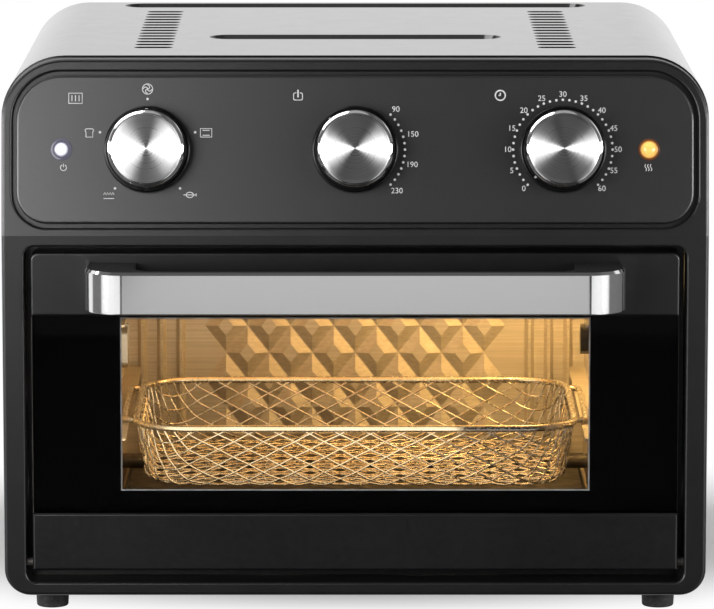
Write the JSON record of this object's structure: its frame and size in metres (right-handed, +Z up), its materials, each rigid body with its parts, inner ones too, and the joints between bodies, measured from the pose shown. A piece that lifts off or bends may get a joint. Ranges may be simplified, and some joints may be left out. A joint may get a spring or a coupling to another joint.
{
  "type": "air fryer oven",
  "caption": "Countertop air fryer oven with a drop-down glass door, turning control knobs, a fan-heated cavity and a sliding wire fry basket.",
  "frame": {"origin": "on the worktop, under the middle of the bounding box", "axes": "+X to the right of a person facing the door, +Y towards the back, +Z up"},
  "size_m": [0.402, 0.391, 0.3173],
  "materials": {
    "shell_paint": "gloss",
    "bezel_plastic": "satin",
    "panel_plastic": "satin",
    "zinc_steel": "satin",
    "dark_plastic": "satin",
    "foot_rubber": "matte",
    "knob_plastic": "gloss",
    "knob_steel": "spun",
    "white_lens": "gloss",
    "amber_lens": "gloss",
    "liner_steel": "satin",
    "tray_coating": "satin",
    "heater_sheath": "matte",
    "insulator_ceramic": "matte",
    "fan_aluminium": "satin",
    "motor_metal": "satin",
    "lamp_glass": "gloss",
    "bulb_glass": "gloss",
    "door_paint": "satin",
    "door_glass": "gloss",
    "handle_steel": "satin",
    "basket_chrome": "polished"
  },
  "bodies": {
    "housing": {"back_panel": "zinc_steel", "bottom_pan": "zinc_steel", "cavity_back": "liner_steel", "cavity_ceiling": "liner_steel", "cavity_floor": "liner_steel", "cavity_front_frame": "door_paint", "cavity_left_wall": "liner_steel", "cavity_right_wall": "liner_steel", "control_bracket": "zinc_steel", "control_panel": "panel_plastic", "cord_gland": "foot_rubber", "cover_screws": "zinc_steel", "door_springs": "zinc_steel", "fan_guard": "liner_steel", "fan_housing": "liner_steel", "fan_motor": "motor_metal", "feet": "foot_rubber", "front_bezel": "bezel_plastic", "function_switch": "dark_plastic", "heater_insulators": "insulator_ceramic", "heating_lamp": "amber_lens", "hinge_brackets": "zinc_steel", "lamp_bulb": "bulb_glass", "lamp_cover": "lamp_glass", "lamp_socket": "dark_plastic", "lower_heaters": "heater_sheath", "motor_bracket": "zinc_steel", "outer_shell": "shell_paint", "power_lamp": "white_lens", "rack_guides": "liner_steel", "rear_spacers": "dark_plastic", "spit_motor": "motor_metal", "spit_rest": "zinc_steel", "thermostat": "dark_plastic", "timer": "dark_plastic", "upper_heaters": "heater_sheath"},
    "door": {"door_top_rail": "door_paint", "door_bottom_rail": "door_paint", "door_glass": "door_glass", "door_inner_pan": "liner_steel", "handle_strip": "handle_steel", "handle_core": "dark_plastic", "handle_screws": "zinc_steel", "hinge_pins": "zinc_steel"},
    "function_knob": {"function_knob": "knob_plastic", "function_knob_cap": "knob_steel", "function_shaft": "zinc_steel"},
    "temperature_knob": {"temperature_knob": "knob_plastic", "temperature_knob_cap": "knob_steel", "temperature_shaft": "zinc_steel"},
    "timer_knob": {"timer_knob": "knob_plastic", "timer_knob_cap": "knob_steel", "timer_shaft": "zinc_steel"},
    "fan": {"fan_impeller": "fan_aluminium", "cooling_impeller": "fan_aluminium", "fan_shaft": "zinc_steel"},
    "spit_drive": {"spit_socket": "dark_plastic"},
    "basket": {"basket_mesh": "basket_chrome", "basket_rim": "basket_chrome"},
    "crumb_drawer": {"crumb_tray": "tray_coating"}
  },
  "joints": [
    {"name": "door_hinge", "type": "hinge", "parent": "housing", "child": "door", "pos_m": [0, -0.144, 0.0286], "axis": [1, 0, 0], "range_deg": [0, 78], "stiffness_Nm_per_rad": 0.4, "springref_deg": -28.65},
    {"name": "function_turn", "type": "hinge", "parent": "housing", "child": "function_knob", "pos_m": [-0.1173, -0.14487, 0.266], "axis": [0, 0.9877, -0.1564], "range_deg": [-140, 140]},
    {"name": "temperature_turn", "type": "hinge", "parent": "housing", "child": "temperature_knob", "pos_m": [0, -0.14487, 0.266], "axis": [0, 0.9877, -0.1564], "range_deg": [0, 175]},
    {"name": "timer_turn", "type": "hinge", "parent": "housing", "child": "timer_knob", "pos_m": [0.1173, -0.14487, 0.266], "axis": [0, 0.9877, -0.1564], "range_deg": [0, 270]},
    {"name": "fan_spin", "type": "hinge", "parent": "housing", "child": "fan", "pos_m": [0, 0.00475, 0.2218], "axis": [0, 0, 1], "continuous": true},
    {"name": "spit_spin", "type": "hinge", "parent": "housing", "child": "spit_drive", "pos_m": [0.152, 0.00475, 0.1338], "axis": [1, 0, 0], "continuous": true},
    {"name": "basket_slide", "type": "slide", "parent": "housing", "child": "basket", "axis": [0, -1, 0], "range_m": [0, 0.028]},
    {"name": "crumb_tray_slide", "type": "slide", "parent": "housing", "child": "crumb_drawer", "axis": [0, -1, 0], "range_m": [0, 0.008]}
  ]
}
